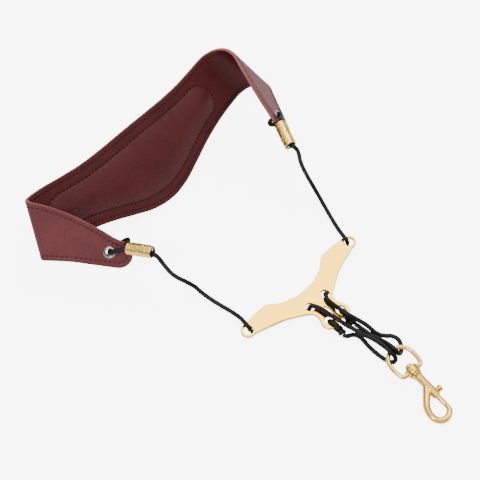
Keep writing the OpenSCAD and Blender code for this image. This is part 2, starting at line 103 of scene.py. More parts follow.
def leather(name, dark, light, rough, grain, grain_depth):
    m, t, b = new_material(name)
    xyz = coords(t)
    big = add(t, "ShaderNodeTexNoise", Scale=38.0, Detail=5.0, Roughness=0.6)
    t.links.new(xyz, big.inputs["Vector"])
    fine = add(t, "ShaderNodeTexNoise", Scale=900.0, Detail=3.0, Roughness=0.6)
    t.links.new(xyz, fine.inputs["Vector"])
    mix = add(t, "ShaderNodeMath", operation="MULTIPLY_ADD")
    mix.inputs[1].default_value = 0.35
    t.links.new(fine.outputs["Fac"], mix.inputs[0])
    t.links.new(big.outputs["Fac"], mix.inputs[2])
    colour = ramp(t, mix.outputs[0], [(0.42, dark), (0.95, light)])
    t.links.new(colour.outputs["Color"], b.inputs["Base Color"])
    rough_ramp = ramp(t, fine.outputs["Fac"], [(0.3, grey(rough - 0.07)), (0.75, grey(rough + 0.08))])
    t.links.new(rough_ramp.outputs["Color"], b.inputs["Roughness"])
    cells = add(t, "ShaderNodeTexVoronoi", feature="DISTANCE_TO_EDGE", Scale=grain)
    t.links.new(xyz, cells.inputs["Vector"])
    crease = ramp(t, cells.outputs["Distance"], [(0.0, grey(0.0)), (0.22, grey(1.0))])
    first = bump(t, b, crease.outputs["Color"], grain_depth, 0.55)
    soft = add(t, "ShaderNodeTexNoise", Scale=260.0, Detail=4.0, Roughness=0.55)
    t.links.new(xyz, soft.inputs["Vector"])
    bump(t, b, soft.outputs["Fac"], grain_depth * 1.6, 0.5, first)
    b.inputs["Specular IOR Level"].default_value = 0.22
    return m


def metal(name, colour, rough, wear=0.04, scratch=0.25):
    m, t, b = new_material(name)
    b.inputs["Metallic"].default_value = 1.0
    xyz = coords(t)
    cloud = add(t, "ShaderNodeTexNoise", Scale=120.0, Detail=4.0, Roughness=0.55)
    t.links.new(xyz, cloud.inputs["Vector"])
    deep = tuple(c * 0.93 for c in colour)
    tint = ramp(t, cloud.outputs["Fac"], [(0.3, deep), (0.7, colour)])
    t.links.new(tint.outputs["Color"], b.inputs["Base Color"])
    streak = add(t, "ShaderNodeTexNoise", Scale=2200.0, Detail=2.0, Roughness=0.5)
    t.links.new(xyz, streak.inputs["Vector"])
    r = ramp(t, streak.outputs["Fac"], [(0.3, grey(rough)), (0.8, grey(rough + wear))])
    t.links.new(r.outputs["Color"], b.inputs["Roughness"])
    bump(t, b, cloud.outputs["Fac"], 0.00002, scratch)
    return m


def cloth(name, dark, light, scale, rough=0.7, sheen=0.25):
    m, t, b = new_material(name)
    xyz = coords(t)
    fuzz = add(t, "ShaderNodeTexNoise", Scale=scale, Detail=4.0, Roughness=0.65)
    t.links.new(xyz, fuzz.inputs["Vector"])
    tint = ramp(t, fuzz.outputs["Fac"], [(0.35, dark), (0.7, light)])
    t.links.new(tint.outputs["Color"], b.inputs["Base Color"])
    b.inputs["Roughness"].default_value = rough
    b.inputs["Sheen Weight"].default_value = sheen
    b.inputs["Specular IOR Level"].default_value = 0.2
    bump(t, b, fuzz.outputs["Fac"], 0.00006, 0.6)
    return m


OUTER = leather("maroon_leather", (0.083, 0.016, 0.018), (0.135, 0.031, 0.035), 0.48, 1250.0, 0.00010)
# The lining's colour is darker than the outer leather's partly as painted shade on the inner face and partly
# as its own darker tone.
LINING = leather("maroon_lining", (0.043, 0.0038, 0.0042), (0.070, 0.0077, 0.0084), 0.50, 900.0, 0.00008)
EDGE = leather("cut_leather_edge", (0.20, 0.06, 0.055), (0.30, 0.10, 0.09), 0.75, 2400.0, 0.00005)
# Both thread colours are the leather's dark red darkened as painted shade for the shadow in the stitch holes;
# the inside thread is darker still, like the lining.
THREAD = cloth("thread_inside_painted_shade", (0.008, 0.0006, 0.0009), (0.020, 0.0012, 0.002), 2600.0, 0.6, 0.0)
THREAD_OUT = cloth("thread_outside_painted_shade", (0.035, 0.003, 0.004), (0.062, 0.006, 0.007), 2600.0, 0.6, 0.0)
CORD = cloth("black_braid", (0.0012, 0.0012, 0.0014), (0.0040, 0.0040, 0.0046), 2400.0, 0.5, 0.0)
CORE = cloth("cord_core", (0.55, 0.53, 0.48), (0.78, 0.76, 0.70), 3000.0, 0.8)
FOAM = cloth("foam", (0.22, 0.21, 0.19), (0.38, 0.36, 0.33), 1400.0, 0.9, 0.0)
GOLD = metal("gold_plate", (1.0, 0.58, 0.04), 0.08)
GOLD_CAST = metal("gold_cast", (1.0, 0.63, 0.12), 0.10, 0.06, 0.5)
GOLD_SLEEVE = metal("gold_sleeve", (1.0, 0.64, 0.14), 0.18, 0.08, 0.6)
# The nickel's base colour is darker than bare nickel as painted shade for the shadow round the eyelets' rims.
NICKEL = metal("nickel", (0.30, 0.30, 0.31), 0.14, 0.06)
SPRING = metal("spring_wire", (0.55, 0.55, 0.57), 0.28, 0.1)


# ---------------------------------------------------------------- mesh helpers
def piece(name, verts_mm, faces, mats, face_mats=None, weld=False, sharp=35.0):
    """A mesh object from points in the table frame, in millimetres."""
    mesh = bpy.data.meshes.new(name)
    mesh.from_pydata([tuple(v) for v in (np.asarray(verts_mm, float) + SHIFT) * MM], [],
                     [tuple(int(i) for i in f) for f in faces])
    mats = mats if isinstance(mats, (list, tuple)) else [mats]
    for m in mats:
        mesh.materials.append(m)
    if face_mats is not None:
        mesh.polygons.foreach_set("material_index", np.asarray(face_mats, np.int32))
    if weld:
        bm = bmesh.new()
        bm.from_mesh(mesh)
        bmesh.ops.remove_doubles(bm, verts=bm.verts, dist=2e-6)
        bmesh.ops.dissolve_degenerate(bm, edges=bm.edges, dist=1e-7)
        bmesh.ops.recalc_face_normals(bm, faces=bm.faces)
        bm.to_mesh(mesh)
        bm.free()
    mesh.validate()
    mesh.polygons.foreach_set("use_smooth", [True] * len(mesh.polygons))
    if sharp:
        mesh.set_sharp_from_angle(angle=math.radians(sharp))
    obj = bpy.data.objects.new(name, mesh)
    bpy.context.scene.collection.objects.link(obj)
    return obj


def grid_faces(rows, cols, close_cols=False, close_rows=False, base=0, flip=False):
    faces = []
    for i in range(rows if close_rows else rows - 1):
        for j in range(cols if close_cols else cols - 1):
            a, b = base + i * cols + j, base + i * cols + (j + 1) % cols
            c, d = base + ((i + 1) % rows) * cols + (j + 1) % cols, base + ((i + 1) % rows) * cols + j
            faces.append((a, d, c, b) if flip else (a, b, c, d))
    return faces


def unit(v):
    v = np.asarray(v, float)
    return v / np.linalg.norm(v, axis=-1, keepdims=True)


def distances(p):
    """How far along the path p each of its points lies."""
    return np.concatenate([[0], np.cumsum(np.linalg.norm(np.diff(p, axis=0), axis=1))])


def smooth_path(points, step):
    """Catmull-Rom through the route points, then evenly spaced points."""
    p = np.asarray(points, float)
    p = np.vstack([2 * p[0] - p[1], p, 2 * p[-1] - p[-2]])
    out = []
    for i in range(1, len(p) - 2):
        a, b, c, d = p[i - 1], p[i], p[i + 1], p[i + 2]
        k0, k1, k2 = (max(np.linalg.norm(v), 1e-3) ** 0.5 for v in (b - a, c - b, d - c))
        t0, t1, t2, t3 = 0.0, k0, k0 + k1, k0 + k1 + k2
        for t in np.linspace(t1, t2, 24, endpoint=False):
            a1 = (t1 - t) / (t1 - t0) * a + (t - t0) / (t1 - t0) * b
            a2 = (t2 - t) / (t2 - t1) * b + (t - t1) / (t2 - t1) * c
            a3 = (t3 - t) / (t3 - t2) * c + (t - t2) / (t3 - t2) * d
            b1 = (t2 - t) / (t2 - t0) * a1 + (t - t0) / (t2 - t0) * a2
            b2 = (t3 - t) / (t3 - t1) * a2 + (t - t1) / (t3 - t1) * a3
            out.append((t2 - t) / (t2 - t1) * b1 + (t - t1) / (t2 - t1) * b2)
    out.append(p[-2])
    return resample(np.array(out), step)


def resample(p, step):
    s = distances(p)
    n = max(4, int(round(s[-1] / step)) + 1)
    at = np.linspace(0, s[-1], n)
    return np.stack([np.interp(at, s, p[:, k]) for k in range(3)], 1)


def path_frames(p, first=(0, 0, 1)):
    t = unit(np.gradient(p, axis=0))
    u = np.zeros_like(p)
    n = np.array(first, float)
    if abs(n @ t[0]) > 0.9:
        n = np.array([1.0, 0, 0])
    for i in range(len(p)):
        n = n - (n @ t[i]) * t[i]
        n /= np.linalg.norm(n)
        u[i] = n
    return t, u, np.cross(t, u)


def sweep(name, p, radius_at, around, mat, caps=True, sharp=None, first=(0, 0, 1)):
    """A tube along p; radius_at(angle array, distance array) gives its surface."""
    _, u, v = path_frames(p, first)
    s = distances(p)
    ang = np.linspace(0, 2 * np.pi, around, endpoint=False)
    A, S = np.meshgrid(ang, s)
    r = radius_at(A, S)
    pts = p[:, None] + r[..., None] * (np.cos(A)[..., None] * u[:, None] + np.sin(A)[..., None] * v[:, None])
    verts = pts.reshape(-1, 3)
    faces = grid_faces(len(p), around, close_cols=True)
    if caps:
        n = len(verts)
        verts = np.vstack([verts, p[0], p[-1]])
        last = (len(p) - 1) * around
        for j in range(around):
            k = (j + 1) % around
            faces.append((n, k, j))
            faces.append((n + 1, last + j, last + k))
    return piece(name, verts, faces, mat, sharp=sharp)


# ---------------------------------------------------------------- the pad's sheet, as in part.scad
LEATHER = 1.3
FOAM_RISE = 3.2
LEAN = math.radians(38.5)
FOLDS = {-1: (95.5, 3.0, 145.0), 1: (80.5, 14.0, 132.0)}
TOP_EDGE = [58.7, 58.6, 58.6, 59.4, 61.5, 63.8, 64.4, 62.3, 58.0, 52.0, 45.5]
LOW_EDGE = [-1.0, 1.4, 7.6, 14.3, 19.6, 23.3, 25.8, 27.5, 28.4, 28.0, 27.6]
EDGE_STEP = 15.0
PAD_HALF = 149.0
SPLAY = math.radians(19)
FOLD_T = 30.0
PAD_AT = np.array([-7.8, 57.0, 1.6])
PAD_TURN = math.radians(1)
EYELET_AT, EYELET_T = 143.0, 37.5
FOAM_INSET = 9.0
FOAM_LEFT, FOAM_RIGHT = -87.0, 66.0


def along(tab, x):
    tab = np.asarray(tab)
    x = np.clip(np.asarray(x, float), 0, PAD_HALF)
    i = np.minimum((x / EDGE_STEP).astype(int), len(tab) - 2)
    f = x / EDGE_STEP - i
    a, b, c, d = tab[np.where(i == 0, 1, i - 1)], tab[i], tab[i + 1], tab[np.minimum(i + 2, len(tab) - 1)]
    return b + 0.5 * f * (c - a + f * (2 * a - 5 * b + 4 * c - d + f * (3 * (b - c) + d - a)))


def fold(s, t, n, at, r, turn):
    turn = math.radians(turn)
    e = np.array([-math.sin(SPLAY), math.cos(SPLAY)])
    w = np.array([math.cos(SPLAY), math.sin(SPLAY)])
    qs, qt = s - at, t - FOLD_T
    d = qs * w[0] + qt * w[1]
    line = qs * e[0] + qt * e[1]
    a = np.clip(d / r, 0, turn)
    rest = np.maximum(0, d - r * turn)
    across = (r - n) * np.sin(a) + rest * np.cos(a)
    up = r - (r - n) * np.cos(a) + rest * np.sin(a)
    flat = d <= 0
    return (np.where(flat, s, at + line * e[0] + across * w[0]),
            np.where(flat, t, FOLD_T + line * e[1] + across * w[1]), np.where(flat, n, up))


def lay(s, t, n):
    """Flat pattern (along, up, inward) to the table frame."""
    s, t, n = np.broadcast_arrays(np.asarray(s, float), np.asarray(t, float), np.asarray(n, float))
    ls, lt, ln = fold(-s, t, n, *FOLDS[-1])
    rs, rt, rn = fold(s, t, n, *FOLDS[1])
    left = s < 0
    x, ft, fn = np.where(left, -ls, rs), np.where(left, lt, rt), np.where(left, ln, rn)
    y = ft * math.sin(LEAN) - fn * math.cos(LEAN)
    z = ft * math.cos(LEAN) + fn * math.sin(LEAN)
    c, k = math.cos(PAD_TURN), math.sin(PAD_TURN)
    return PAD_AT + np.stack([x * c - y * k, x * k + y * c, z], -1)


def ease(x):
    x = np.clip(x, 0, 1)
    return x * x * (3 - 2 * x)


def column(c, t):
    slant = math.tan(SPLAY) * ease(np.abs(c) / 70) * (1 - ease((np.abs(c) - 115) / 36))
    return np.abs(c) - slant * (t - FOLD_T)


def meet(c, tab, t):
    t = np.full(np.shape(c), float(t))
    for _ in range(6):
        t = along(tab, column(c, t))
    return np.stack([np.sign(c) * column(c, t), t], -1)


def outline():
    """The pattern's edge, once round, each point with the point of the middle line that it faces."""
    c = np.unique(np.concatenate([np.arange(2.0, 90.0, 1.6), np.arange(90.0, 118.0, 0.8),
                                  np.arange(118.0, 149.0, 1.3), [PAD_HALF]]))
    c = np.concatenate([-c[::-1], c])
    top, low = meet(c, TOP_EDGE, 60), meet(c, LOW_EDGE, 20)
    t = (top[:, 1] + low[:, 1]) / 2
    mid = np.stack([np.sign(c) * column(c, t), t], -1)
    arc = np.radians(np.linspace(90, -90, 26)[1:-1])
    centre = mid[-1]
    r = (top[-1, 1] - low[-1, 1]) / 2
    right = centre + r * np.stack([np.cos(arc), np.sin(arc)], -1)
    left = mid[0] + r * np.stack([-np.cos(arc), -np.sin(arc)], -1)
    edge = np.vstack([top, right, low[::-1], left])
    mids = np.vstack([mid, np.repeat(mid[-1:], len(right), 0), mid[::-1], np.repeat(mid[:1], len(left), 0)])
    return edge, mids


EDGE_ST, MID_ST = outline()
REACH = np.linalg.norm(MID_ST - EDGE_ST, axis=1)


def inset(d):
    """The closed line at distance d inside the pattern's edge."""
    return EDGE_ST + (MID_ST - EDGE_ST) * (np.minimum(d, REACH * 0.98) / REACH)[:, None]


def foam_line():
    right_r, left_r = 12.2, 20.0
    x0, x1 = FOAM_LEFT + left_r, FOAM_RIGHT - right_r
    xs = np.arange(x0, x1 + 0.1, 1.5)
    top = np.stack([xs, along(TOP_EDGE, abs(xs)) - FOAM_INSET], -1)
    low = np.stack([xs, along(LOW_EDGE, abs(xs)) + FOAM_INSET], -1)

    def cap(a, b, reach):
        th = np.linspace(0, np.pi, 24)[1:-1]
        mid, half = (a + b) / 2, (a - b) / 2
        return mid + np.cos(th)[:, None] * half + np.sin(th)[:, None] * np.array([reach, 0.0])

    return np.vstack([top, cap(top[-1], low[-1], right_r), low[::-1], cap(low[0], top[0], -left_r)])


FOAM_ST = foam_line()


def foam_depth(s, t):
    """Signed distance inside the foam's stitched outline."""
    pts = np.stack([s.ravel(), t.ravel()], -1)
    a, b = FOAM_ST, np.roll(FOAM_ST, -1, 0)
    d = b - a
    best = np.full(len(pts), 1e9)
    inside = np.zeros(len(pts), bool)
    for p0, p1, dd in zip(a, b, d):
        f = np.clip(((pts - p0) @ dd) / max(dd @ dd, 1e-9), 0, 1)
        best = np.minimum(best, np.linalg.norm(pts - p0 - f[:, None] * dd, axis=1))
        cross = (p0[1] > pts[:, 1]) != (p1[1] > pts[:, 1])
        with np.errstate(divide="ignore", invalid="ignore"):
            x = p0[0] + (pts[:, 1] - p0[1]) / (p1[1] - p0[1]) * (p1[0] - p0[0])
        inside ^= cross & (pts[:, 0] < x)
    return np.where(inside, best, -best).reshape(s.shape)


def crown(depth):
    x = np.clip(depth / 17.0, 0, 1)
    return FOAM_RISE * (1 - (1 - x) ** 2.2)


INSETS = np.array([0, .05, .14, .28, .5, .9, 1.5, 2.1, 2.6, 2.95, 3.2, 3.4, 3.6, 3.85, 4.2, 4.8, 5.6, 6.5,
                   7.4, 8.2, 8.65, 9.0, 9.35, 9.8, 10.6, 11.8, 13.2, 15.0, 17.0, 19.5, 22.0, 24.5, 27.0])
STITCH_IN = 3.4
STITCH_STEP = 3.05


def skin(name, front, back, mats, with_foam):
    """One leather layer: show face with rounded edge and sewn channels, back face and cut edge."""
    j5 = int(np.searchsorted(INSETS, 5.5))
    rest = 5.0 + (REACH[:, None] - 5.0) * (np.arange(len(INSETS)) - j5 + 1)[None] / (len(INSETS) - j5 + 1)
    d = np.where(np.arange(len(INSETS))[None] < j5, INSETS[None], np.minimum(INSETS[None], rest))
    d = np.minimum(d, REACH[:, None] * (0.55 + 0.44 * np.arange(len(INSETS)) / len(INSETS))[None])
    d = np.maximum.accumulate(d, axis=1)
    st = EDGE_ST[:, None] + (MID_ST - EDGE_ST)[:, None] * (d / REACH[:, None])[..., None]
    st = np.concatenate([st, MID_ST[:, None]], 1)
    d = np.concatenate([d, REACH[:, None]], 1)
    s, t = st[..., 0], st[..., 1]
    line = inset(STITCH_IN)
    run = distances(line)
    pitch = run[-1] / round(run[-1] / STITCH_STEP)
    pulse = 0.72 + 0.28 * np.cos(2 * np.pi * run / pitch)
    groove = 0.20 * pulse[:, None] * np.exp(-((d - STITCH_IN) / 0.55) ** 2)
    swell = 0.10 * np.exp(-((d - 1.6) / 1.0) ** 2)
    r = 0.5
    rounding = np.where(d < r, r - np.sqrt(np.maximum(0, r * r - (r - d) ** 2)), 0)
    depth = foam_depth(s, t)
    if with_foam:
        lift = crown(depth)
        groove = groove + 0.26 * np.exp(-(depth / 0.6) ** 2)
        face = front + lift + swell - groove - rounding
        under = back + lift
    else:
        face = front - swell + groove + rounding
        face = face + 0.20 * np.exp(-(depth / 0.6) ** 2)
        under = np.full_like(s, back)
    rows, cols = s.shape
    a = lay(s, t, face).reshape(-1, 3)
    b = lay(s, t, under).reshape(-1, 3)
    faces = grid_faces(rows, cols,
                       close_rows=True) + grid_faces(rows, cols, close_rows=True, base=len(a), flip=True)
    idx = [0] * len(faces)
    for i in range(rows):
        i2 = (i + 1) % rows
        faces.append((i * cols, i2 * cols, len(a) + i2 * cols, len(a) + i * cols))
        idx.append(1)
    return piece(name, np.vstack([a, b]), faces, mats, idx, weld=True, sharp=50.0)


def stitches(name, line_st, face_n, side, mat, wide=0.42, closed=True, with_foam=False, lift=0.0):
    """Thread stitches laid in the sewn channel, each a short rounded bar sunk in the leather."""
    st = np.vstack([line_st, line_st[:1]]) if closed else line_st
    s, t = st[:, 0], st[:, 1]
    n = face_n + (crown(foam_depth(s, t)) if with_foam else 0)
    p = lay(s, t, n)
    q = lay(s, t, n + 1.0)
    run = distances(p)
    count = int(round(run[-1] / STITCH_STEP))
    pitch = run[-1] / count
    verts, faces = [], []
    ring, rows = 8, 7
    for i in range(count):
        ends = []
        for f in (i + 0.5 - 0.35, i + 0.5, i + 0.5 + 0.35):
            ends.append(np.array([np.interp(f * pitch, run, p[:, k]) for k in range(3)]))
        up = unit(np.array([np.interp((i + 0.5) * pitch, run, (q - p)[:, k]) for k in range(3)])) * side
        base = len(verts)
        for a in range(rows):
            f = a / (rows - 1)
            w = math.sqrt(max(0.0, 1 - (2 * f - 1) ** 4))
            c = ends[0] * (1 - f) * (1 - 2 * f) + ends[1] * 4 * f * (1 - f) + ends[2] * f * (2 * f - 1)
            way = unit(ends[2] - ends[0])
            across = np.cross(way, up)
            c = c + up * (lift + 0.10 * math.sin(math.pi * f))
            for b in range(ring):
                th = 2 * math.pi * b / ring + 0.8 * f
                verts.append(c + w * (wide * math.cos(th) * across + 0.26 * math.sin(th) * up) + 1e-4 * way)
        faces += grid_faces(rows, ring, close_cols=True, base=base)
        faces.append(tuple(base + b for b in range(ring))[::-1])
        faces.append(tuple(base + (rows - 1) * ring + b for b in range(ring)))
    return piece(name, np.array(verts), faces, mat, sharp=None)


pad_outer = skin("pad_outer", -LEATHER, -0.02, [OUTER, EDGE], False)
pad_lining = skin("pad_lining_skin", LEATHER, 0.02, [LINING, EDGE], True)
seam_in = stitches("pad_seam_inside", inset(STITCH_IN), LEATHER - 0.14, 1, THREAD, lift=0.12)
seam_out = stitches("pad_seam_outside", inset(STITCH_IN), -LEATHER + 0.26, -1, THREAD_OUT, 0.30, lift=0.12)
quilt_in = stitches("foam_seam_inside", FOAM_ST, LEATHER - 0.16, 1, THREAD, 0.46, lift=0.16)
quilt_out = stitches("foam_seam_outside", FOAM_ST, -LEATHER + 0.18, -1, THREAD_OUT, 0.30, lift=0.10)


def foam_core():
    ring = FOAM_ST
    mid = np.stack([np.clip(ring[:, 0], FOAM_LEFT + 20, FOAM_RIGHT - 16), np.zeros(len(ring))], -1)
    mid[:, 1] = (along(TOP_EDGE, abs(mid[:, 0])) + along(LOW_EDGE, abs(mid[:, 0]))) / 2
    f = np.linspace(0.06, 1, 14)
    st = ring[:, None] + (mid - ring)[:, None] * f[None, :, None]
    s, t = st[..., 0], st[..., 1]
    up = np.maximum(0.12, crown(foam_depth(s, t)) - 0.12)
    a, b = lay(s, t, up).reshape(-1, 3), lay(s, t, 0.03).reshape(-1, 3)
    rows, cols = s.shape
    faces = grid_faces(rows, cols,
                       close_rows=True) + grid_faces(rows, cols, close_rows=True, base=len(a), flip=True)
    faces += [(i * cols, ((i + 1) % rows) * cols, len(a) + ((i + 1) % rows) * cols,
               len(a) + i * cols) for i in range(rows)]
    return piece("foam_core", np.vstack([a, b]), faces, FOAM, weld=True)


foam = foam_core()

# ---------------------------------------------------------------- eyelets
EYES = {}
for key, sgn in (("left", -1), ("right", 1)):
    centre = lay(sgn * EYELET_AT, EYELET_T, 0)
    out = unit(lay(sgn * (EYELET_AT + 5), EYELET_T, 0) - centre)
    inner = unit(lay(sgn * EYELET_AT, EYELET_T, 1) - centre)
    EYES[key] = (centre, out, inner)


def lathe(name, profile, centre, axis, side, mat, around=72, closed=True, ripple=None):
    """A profile of (radius, height) points turned about an axis."""
    axis, side = unit(axis), unit(side)
    other = np.cross(axis, side)
    prof = np.asarray(profile, float)
    ang = np.linspace(0, 2 * np.pi, around, endpoint=False)
    R, A = np.meshgrid(prof[:, 0], ang, indexing="ij")
    H = np.repeat(prof[:, 1:2], around, 1)
    if ripple is not None:
        R = R + ripple(A, H, R)
    v = centre + H[...,
                   None] * axis + R[..., None] * (np.cos(A)[..., None] * side + np.sin(A)[..., None] * other)
    faces = grid_faces(len(prof), around, close_cols=True, close_rows=closed)
    return piece(name, v.reshape(-1, 3), faces, mat, weld=True, sharp=40.0)


def round_profile(points, r, steps=5):
    """A closed profile with each corner rounded by up to r."""
    p = np.asarray(points, float)
    out = []
    for i in range(len(p)):
        a, b, c = p[i - 1], p[i], p[(i + 1) % len(p)]
        u, v = a - b, c - b
        k = min(r, np.linalg.norm(u) * 0.45, np.linalg.norm(v) * 0.45)
        u, v = unit(u), unit(v)
        for f in np.linspace(0, 1, steps):
            out.append(b + k * ((1 - f) ** 2 * u + f ** 2 * v))
    return np.array(out)


def punched(obj):
    """The sheet with a round hole at each eyelet."""
    cutters = []
    for centre, out, inner in EYES.values():
        cutter = lathe("punch", [(0, -3.2), (2.62, -3.2), (2.62, 3.2), (0, 3.2)], centre, inner, out, EDGE,
                       40, closed=False)
        punch = obj.modifiers.new("punch", "BOOLEAN")
        punch.operation = "DIFFERENCE"
        punch.solver = "EXACT"
        punch.object = cutter
        cutters.append(cutter)
    bpy.context.view_layer.update()
    mesh = bpy.data.meshes.new_from_object(obj.evaluated_get(bpy.context.evaluated_depsgraph_get()))
    obj.modifiers.clear()
    obj.data = mesh
    mesh.set_sharp_from_angle(angle=math.radians(50))
    for cutter in cutters:
        bpy.data.objects.remove(cutter)


punched(pad_outer)
punched(pad_lining)
eyelet_parts = []
for key, (centre, out, inner) in EYES.items():
    top = LEATHER + 0.05
    roll = [(2.3, -top - 0.35), (2.45, -top - 0.62), (2.8, -top - 0.8), (3.25, -top - 0.72),
            (3.7, -top - 0.42), (4.0, -top - 0.08), (3.95, -top + 0.02), (3.0, -top + 0.02),
            (2.65, -top + 0.02), (2.65, top + 0.3), (3.0, top + 0.62), (2.7, top + 0.75), (2.4, top + 0.6),
            (2.3, top + 0.3)]
    eyelet = lathe(f"{key}_eyelet_ring", round_profile(roll, 0.25, 4), centre, inner, out, NICKEL)
    flat = [(2.75, top), (3.95, top), (4.0, top + 0.12), (3.7, top + 0.42), (3.1, top + 0.5),
            (2.75, top + 0.4)]
    washer = lathe(f"{key}_eyelet_back", round_profile(flat, 0.12, 4), centre, inner, out, NICKEL)
    eyelet_parts += [(eyelet, f"{key}_eyelet"), (washer, f"{key}_eyelet_washer")]

# ---------------------------------------------------------------- ferrules
FERRULE = 18.0
CORD_D = 3.0
MOUTHS = {"left": (np.array([-69.0, 31.6, 35.2]), unit([0.374, -0.883, 0.282])),
          "right": (np.array([60.2, 21.3, 50.2]), unit([-0.415, -0.906, -0.085]))}
FLAP_UP = {"left": np.cross(EYES["left"][1], EYES["left"][2]),
           "right": np.cross(EYES["right"][2], EYES["right"][1])}
SIDES = {}
for key, (mouth, way) in MOUTHS.items():
    toward = FLAP_UP["left"] if key == "left" else EYES["right"][2]
    SIDES[key] = unit(toward - (toward @ way) * way)


def engraving(a, h, r):
    """Generic scrollwork: a vine with dots between plain bands, sunk in the sleeve's outside."""
    outside = r > 3.95
    band = np.exp(-((h - 1.7) / 0.22) ** 2) + np.exp(-((h - (FERRULE - 1.7)) / 0.22) ** 2)
    mid = FERRULE / 2
    cut = band * 0.10
    for turn, flip in ((0.0, 1), (np.pi / 4, -1)):
        wave = mid + flip * 3.6 * np.sin(4 * (a + turn))
        cut = cut + 0.17 * np.exp(-((h - wave) / 0.30) ** 2) * (np.abs(h - mid) < 5.4)
    for row, count, shift in ((3.4, 10, 0.0), (FERRULE - 3.4, 10, 0.3), (mid, 8, 0.39), (mid - 5.4, 8, 0.0),
                              (mid + 5.4, 8, 0.0)):
        da = (a * count / (2 * np.pi) + shift) % 1 - 0.5
        dist2 = (da * 2 * np.pi / count * 4.1) ** 2 + (h - row) ** 2
        cut = cut + 0.30 * np.exp(-dist2 / 0.14)
    return np.where(outside, -cut, 0.0)


def sleeve(key):
    mouth, way = MOUTHS[key]
    ro, ri = 4.1, 3.16
    h = np.concatenate([[0.0, 0.05, 0.2, 0.4], np.linspace(0.6, FERRULE - 0.6, 150),
                        [FERRULE - 0.4, FERRULE - 0.2, FERRULE - 0.05, FERRULE]])
    bulge = np.where((h < 0.6) | (h > FERRULE - 0.6), -0.35 * (1 - np.minimum(h, FERRULE - h) / 0.6) ** 2, 0)
    outer = np.stack([ro + bulge, h], -1)
    inner = np.stack([np.full(30, ri), np.linspace(FERRULE - 0.15, 0.15, 30)], -1)
    prof = np.vstack([outer, [[ri + 0.15, FERRULE]], inner, [[ri + 0.15, 0.0]]])
    return lathe(f"{key}_sleeve", prof, mouth, way, SIDES[key], GOLD_SLEEVE, around=168, ripple=engraving)


sleeves = {key: sleeve(key) for key in MOUTHS}

# ---------------------------------------------------------------- cords
OFF = CORD_D / 2 + 0.05
# In each flap's frame (outward, up, inward): over the leather's corner, then behind the outer
# strand's eyelet.
CORNER = {"left": [(10.6, 7.8, -3), (11.2, 8.9, -0.8), (10.5, 8.9, 2.2), (8.3, 7.1, 3.8), (4.6, 4.4, 4)],
          "right": [(12.2, 9.4, 0.2), (9.6, 8.8, 2.7), (6.6, 6.8, 3.8), (3.6, 4.2, 4.1)]}
OUTSIDE = {"left": [(1.8, 1.2, -3.9), (6, 3.2, -4.8)], "right": [(1.8, 1.2, -3.9), (6.5, 4.2, -4.6)]}


def loop(key):
    eye, a, n = EYES[key]
    u = FLAP_UP[key]
    mouth, way = MOUTHS[key]
    side = SIDES[key]
    route = CORNER[key] + [(1.9, 2.2, 3.8), (0.5, 0.6, 2.8), (0, 0, 0), (0.5, 0.5, -2.8)] + OUTSIDE[key]
    return ([mouth + k * way + OFF * side for k in (FERRULE - 0.2, 9, 0.5, -1.2)]
            + [eye + q[0] * a + q[1] * u + q[2] * n for q in route]
            + [mouth + k * way - OFF * side for k in (-1.2, 0.5, 9, FERRULE + 0.6, FERRULE + 1.6)])


RUNS = {
    "left": [(-62.2, 12.4, 39.4), (-61.8, 11, 38), (-61.2, 9.2, 34.8), (-60.2, 7, 30), (-58.5, 4.1, 23.5),
             (-55.9, 1.5, 18), (-52, -2.2, 12), (-49, -6.9, 7.5), (-47.9, -12.4, 4.6), (-46.5, -18.9, 2.6),
             (-45.2, -25.5, 1.7), (-44.1, -31.1, 1.6), (-43.7, -36.5, 2.4), (-44.2, -42.3, 4.7),
             (-45.4, -46.8, 6.9), (-45.9, -49.6, 7), (-46, -51.4, 6.2), (-45.9, -52.3, 5),
             (-45.9, -52.5, 3.7)],
    "right": [(53.5, 1.6, 48.8), (54.2, 0.6, 47), (54.8, -0.5, 43.4), (55.2, -1.5, 37.5), (56, -3.1, 31),
              (57.6, -6.7, 21.5), (58.6, -11.5, 13.5), (58.5, -17.2, 7.5), (57.2, -23.7, 3.6),
              (54.8, -31.1, 1.8), (51.5, -39.1, 2.2), (48.5, -45.3, 4.6), (46.3, -49.8, 6.9),
              (45.6, -52.3, 6.9), (45.4, -53.9, 5.8), (45.4, -54.5, 4.6), (45.5, -54.6, 3.7)]}
